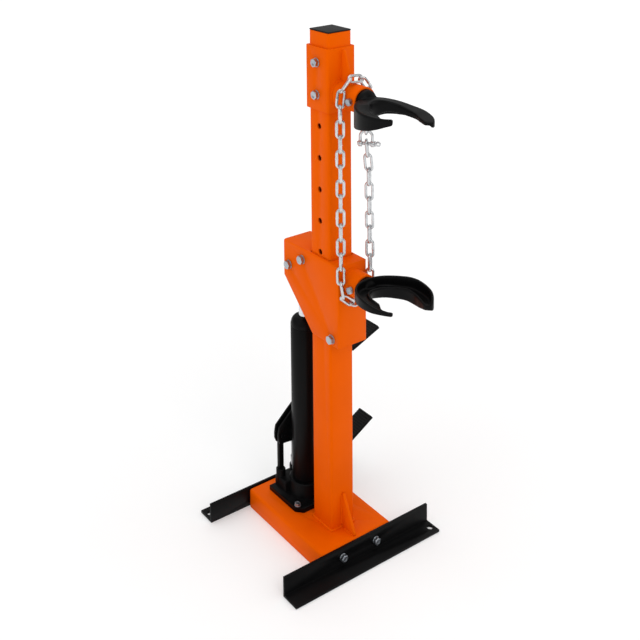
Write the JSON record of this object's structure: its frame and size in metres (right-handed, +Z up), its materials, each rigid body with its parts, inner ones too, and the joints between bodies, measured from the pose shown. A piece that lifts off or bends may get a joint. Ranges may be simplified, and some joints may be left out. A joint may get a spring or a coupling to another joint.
{
  "type": "foot-operated strut spring compressor stand",
  "caption": "Floor-standing strut spring compressor: square column with two coil yokes, a foot-pumped hydraulic jack, a release pedal and a safety chain.",
  "frame": {"origin": "on the floor, on the axis of the square column", "axes": "+Z up along the column, -Y to the front where the yokes reach out, +X to the side the pedals are on"},
  "size_m": [0.431, 0.4582, 1.0882],
  "materials": {
    "orange_paint": "satin",
    "black_paint": "satin",
    "black_rubber": "matte",
    "black_plastic": "matte",
    "zinc_plate": "satin",
    "hard_chrome": "polished",
    "machined_steel": "satin"
  },
  "bodies": {
    "stand": {"base_frame": "orange_paint", "column_foot_plate": "orange_paint", "column": "orange_paint", "column_cap": "black_plastic", "column_gusset": "orange_paint", "front_foot": "black_paint", "rear_foot": "black_paint", "front_foot_bolt_left": "zinc_plate", "front_foot_bolt_right": "zinc_plate", "rear_foot_bolt_left": "zinc_plate", "rear_foot_bolt_right": "zinc_plate", "jack_base": "black_paint", "jack_bolt_front_left": "zinc_plate", "jack_bolt_front_right": "zinc_plate", "jack_reservoir": "black_paint", "ram_cylinder": "machined_steel", "jack_gland": "black_paint", "pump_cylinder": "machined_steel", "pump_return_spring": "machined_steel", "fulcrum_link": "black_paint", "fulcrum_pin": "zinc_plate", "release_pivot_pin": "zinc_plate"},
    "carriage": {"carriage": "orange_paint", "lower_yoke_bolt": "zinc_plate", "rear_roller_axle": "zinc_plate", "front_roller_axle": "zinc_plate", "ram_pin": "zinc_plate", "ram_head": "black_paint", "ram_spacer_left": "machined_steel", "ram_spacer_right": "machined_steel", "ram_rod": "hard_chrome", "ram_piston": "machined_steel"},
    "lower_yoke": {"lower_yoke": "black_paint"},
    "rear_roller": {"rear_roller": "machined_steel"},
    "front_roller": {"front_roller": "machined_steel"},
    "upper_bracket": {"upper_bracket": "orange_paint", "bracket_bolt_lower": "zinc_plate", "bracket_bolt_upper": "zinc_plate", "upper_yoke_bolt": "zinc_plate", "chain": "zinc_plate", "shackle_bow": "zinc_plate", "shackle_pin": "zinc_plate"},
    "upper_yoke": {"upper_yoke": "black_paint"},
    "pump_pedal": {"pump_pedal": "black_paint", "pump_pedal_pad": "black_rubber"},
    "pump_plunger": {"pump_plunger": "machined_steel", "plunger_pin": "zinc_plate"},
    "release_pedal": {"release_pedal": "black_paint", "release_pedal_pad": "black_rubber"},
    "release_valve": {"release_valve": "machined_steel"}
  },
  "joints": [
    {"name": "carriage_lift", "type": "slide", "parent": "stand", "child": "carriage", "axis": [0, 0, 1], "range_m": [0, 0.23]},
    {"name": "rear_roller_spin", "type": "hinge", "parent": "carriage", "child": "rear_roller", "pos_m": [0, 0.05, 0.6005], "axis": [1, 0, 0], "range_deg": [0, 680]},
    {"name": "front_roller_spin", "type": "hinge", "parent": "carriage", "child": "front_roller", "pos_m": [0, -0.043, 0.467], "axis": [1, 0, 0], "range_deg": [-1040, 0]},
    {"name": "lower_yoke_swivel", "type": "hinge", "parent": "carriage", "child": "lower_yoke", "pos_m": [0, -0.102, 0.586], "axis": [0, 1, 0], "range_deg": [-12, 12]},
    {"name": "upper_bracket_slide", "type": "slide", "parent": "stand", "child": "upper_bracket", "axis": [0, 0, 1], "range_m": [-0.1959, 0], "deforming": ["bracket_bolt_lower", "bracket_bolt_upper"]},
    {"name": "upper_yoke_swivel", "type": "hinge", "parent": "upper_bracket", "child": "upper_yoke", "pos_m": [0, -0.102, 0.963], "axis": [0, 1, 0], "range_deg": [-12, 12]},
    {"name": "pump_pedal_press", "type": "hinge", "parent": "stand", "child": "pump_pedal", "pos_m": [-0.033, 0.139, 0.168], "axis": [0, 1, 0], "range_deg": [0, 22], "stiffness_Nm_per_rad": 25},
    {"name": "pump_plunger_stroke", "type": "slide", "parent": "stand", "child": "pump_plunger", "axis": [0, 0, -1], "range_m": [0, 0.0164], "deforming": ["pump_return_spring"]},
    {"name": "release_pedal_press", "type": "hinge", "parent": "stand", "child": "release_pedal", "pos_m": [0.058, 0.12, 0.068], "axis": [0, 1, 0], "range_deg": [0, 12], "stiffness_Nm_per_rad": 10},
    {"name": "release_valve_stroke", "type": "slide", "parent": "stand", "child": "release_valve", "axis": [-1, 0, 0], "range_m": [0, 0.0034]}
  ],
  "couplings": [
    {"joint": "rear_roller_spin", "follows": "carriage_lift", "rad_per_m": 51.282},
    {"joint": "front_roller_spin", "follows": "carriage_lift", "rad_per_m": -78.74},
    {"joint": "pump_plunger_stroke", "follows": "pump_pedal_press", "m_per_rad": 0.0425},
    {"joint": "release_valve_stroke", "follows": "release_pedal_press", "m_per_rad": 0.016}
  ]
}
